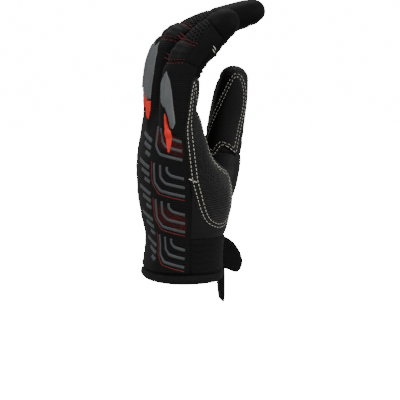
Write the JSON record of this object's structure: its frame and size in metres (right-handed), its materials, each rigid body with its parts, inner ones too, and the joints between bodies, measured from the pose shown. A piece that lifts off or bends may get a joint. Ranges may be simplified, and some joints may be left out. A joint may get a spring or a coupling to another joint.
{
  "type": "work glove",
  "caption": "Right-hand work glove in its worn shape: knit back, leather palm, air-mesh fingers, moulded knuckle guards and a padded palm heel.",
  "frame": {"origin": "centre of the wrist opening, level with the lower edge of the cuff binding", "axes": "+Z along the forearm towards the fingertips, +X the way the palm faces, +Y towards the thumb"},
  "size_m": [0.0923, 0.0971, 0.2227],
  "materials": {
    "knit": "matt black stretch knit with fine ribs",
    "leather": "black synthetic leather, soft sheen",
    "air_mesh": "black padded hexagon air mesh",
    "grip": "black grip leather printed with fine ribs",
    "guard": "moulded grey rubber, satin",
    "flash": "moulded red rubber, satin",
    "webbing": "black binding and webbing",
    "thread": "off-white sewing thread",
    "red_thread": "dull red sewing thread",
    "print": "raised grey rubber print on the knit back"
  },
  "bodies": {
    "root": {"back_panel": "knit", "closure_tab": "webbing", "cuff_binding": "webbing", "index_fourchette_inner": "knit", "index_fourchette_outer": "knit", "index_front": "leather", "index_guard": "guard", "index_guard_flash": "flash", "index_knuckle_band": "knit", "index_mesh": "air_mesh", "little_fourchette_inner": "knit", "little_fourchette_outer": "knit", "little_front": "leather", "little_guard": "guard", "little_guard_flash": "flash", "little_knuckle_band": "knit", "little_mesh": "air_mesh", "middle_fourchette_inner": "knit", "middle_fourchette_outer": "knit", "middle_front": "leather", "middle_guard": "guard", "middle_guard_flash": "flash", "middle_knuckle_band": "knit", "middle_mesh": "air_mesh", "palm_pad": "grip", "palm_panel": "leather", "pull_tab": "webbing", "ring_fourchette_inner": "knit", "ring_fourchette_outer": "knit", "ring_front": "leather", "ring_guard": "guard", "ring_guard_flash": "flash", "ring_knuckle_band": "knit", "ring_mesh": "air_mesh", "thumb_back": "leather", "thumb_front": "leather", "thumb_patch": "leather", "wrist_elastic": "knit"}
  },
  "joints": []
}
